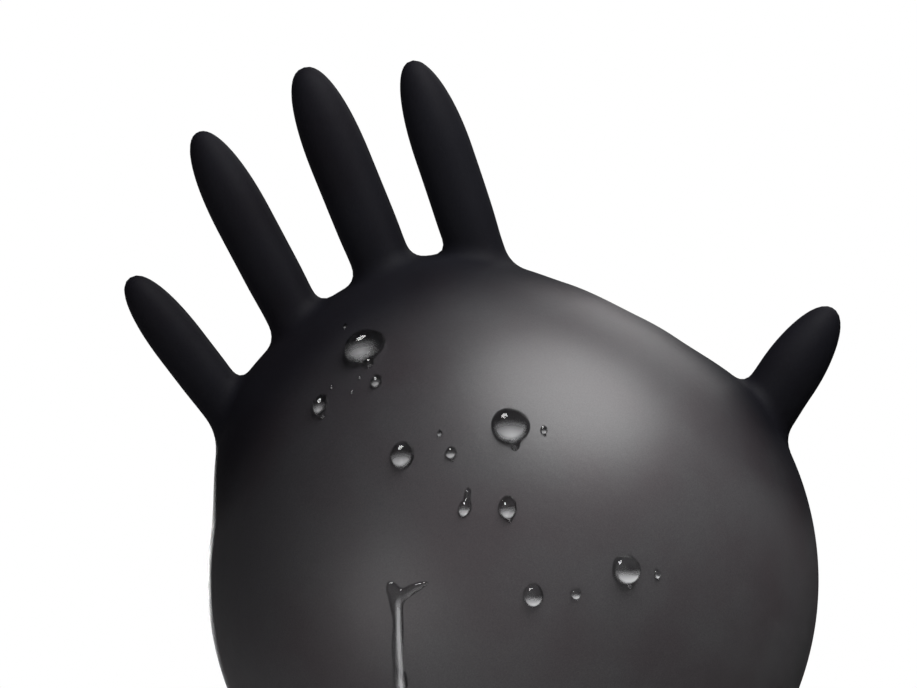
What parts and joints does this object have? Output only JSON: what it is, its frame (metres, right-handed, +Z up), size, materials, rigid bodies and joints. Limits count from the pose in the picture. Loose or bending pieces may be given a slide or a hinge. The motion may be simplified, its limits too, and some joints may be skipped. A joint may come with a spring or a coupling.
{
  "type": "inflated disposable glove",
  "caption": "Blown-up rubber film glove: round palm balloon, four fanned fingers and a thumb, tied off with a knot above a ruffled cuff, with water drops on its front.",
  "frame": {"origin": "centre of the knot that closes the cuff, where the glove is held (mount knot_grip)", "axes": "+Z up along the glove from the knot to the fingers, +X towards the thumb, -Y the front of the palm, where the water drops are"},
  "size_m": [0.2507, 0.203, 0.4103],
  "materials": {
    "film": "satin black",
    "stretched_film": "satin charcoal, thinned by stretching",
    "water": "clear"
  },
  "bodies": {
    "knot": {"knot": "film"},
    "tail": {"cuff_tail": "film", "rolled_bead": "film"},
    "balloon": {"palm_balloon": "stretched_film", "gathered_neck": "film", "drop_knuckle_large": "water", "drop_knuckle_small": "water", "drop_left": "water", "drop_centre_left": "water", "drop_centre_speck": "water", "drop_centre_small": "water", "drop_centre_large": "water", "drop_centre_bead": "water", "drop_run_long": "water", "drop_run_short": "water", "drop_low_large": "water", "drop_low_bead": "water", "drop_low_middle": "water", "drop_low_small": "water", "rivulet": "water"},
    "little": {"little_finger": "film"},
    "ring": {"ring_finger": "film"},
    "middle": {"middle_finger": "film"},
    "index": {"index_finger": "film"},
    "thumb": {"thumb": "film"}
  },
  "joints": [
    {"name": "neck_lean", "type": "hinge", "parent": "knot", "child": "balloon", "pos_m": [0, 0, 0.012], "axis": [0, 1, 0], "range_deg": [-20, 20], "stiffness_Nm_per_rad": 0.06},
    {"name": "tail_sway", "type": "hinge", "parent": "knot", "child": "tail", "pos_m": [0, 0, -0.012], "axis": [0, 1, 0], "range_deg": [-25, 25], "stiffness_Nm_per_rad": 0.005},
    {"name": "little_curl", "type": "hinge", "parent": "balloon", "child": "little", "pos_m": [-0.082, 0, 0.2407], "axis": [0.9304, 0, 0.3665], "range_deg": [-30, 30], "stiffness_Nm_per_rad": 0.02},
    {"name": "ring_curl", "type": "hinge", "parent": "balloon", "child": "ring", "pos_m": [-0.05, 0, 0.2674], "axis": [0.9781, 0, 0.2079], "range_deg": [-30, 30], "stiffness_Nm_per_rad": 0.02},
    {"name": "middle_curl", "type": "hinge", "parent": "balloon", "child": "middle", "pos_m": [-0.014, 0, 0.2758], "axis": [0.9942, 0, 0.108], "range_deg": [-30, 30], "stiffness_Nm_per_rad": 0.02},
    {"name": "index_curl", "type": "hinge", "parent": "balloon", "child": "index", "pos_m": [0.02, 0, 0.2693], "axis": [0.9998, 0, 0.0209], "range_deg": [-30, 30], "stiffness_Nm_per_rad": 0.02},
    {"name": "thumb_curl", "type": "hinge", "parent": "balloon", "child": "thumb", "pos_m": [0.11, 0, 0.1903], "axis": [0.6428, 0, -0.766], "range_deg": [-30, 30], "stiffness_Nm_per_rad": 0.02}
  ]
}
